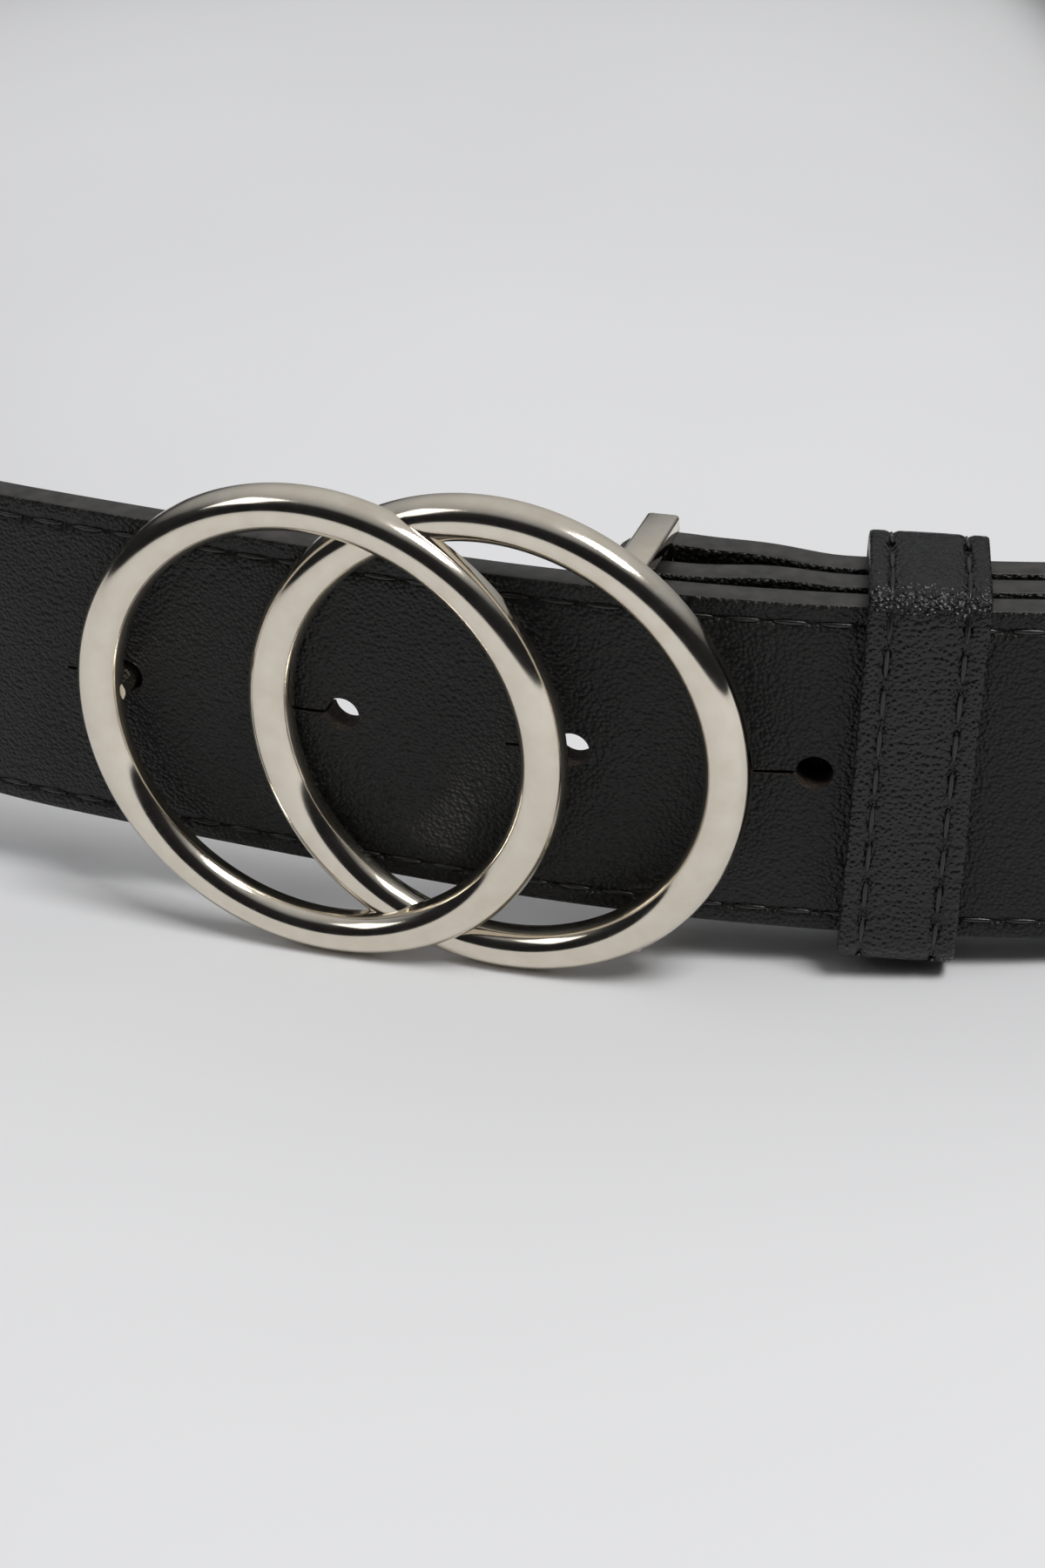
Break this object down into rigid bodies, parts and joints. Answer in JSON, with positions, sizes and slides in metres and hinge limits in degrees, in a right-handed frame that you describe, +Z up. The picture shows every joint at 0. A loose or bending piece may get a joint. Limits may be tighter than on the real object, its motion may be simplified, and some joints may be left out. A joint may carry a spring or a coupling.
{
  "type": "ring belt",
  "caption": "Waist belt in dark leather-like strap, fastened into a loop through a silvery buckle of interlocking rings, with a keeper loop and a free rounded tip",
  "frame": {"origin": "centre of the bounding box's underside, on the floor that the belt stands on", "axes": "X runs along the buckle from ring to ring, -Y is the front that carries the buckle, +Z is up along the strap's width"},
  "size_m": [0.3594, 0.382, 0.0537],
  "materials": {
    "strap_leather": "satin fine grain with painted edges and edge stitching",
    "keeper_leather": "satin, a little glossier than the strap, stitched along both edges",
    "buckle_metal": "polished nickel-plated cast zinc"
  },
  "bodies": {
    "root": {"strap": "strap_leather", "keeper": "keeper_leather", "ring_buckle": "buckle_metal"}
  },
  "joints": []
}
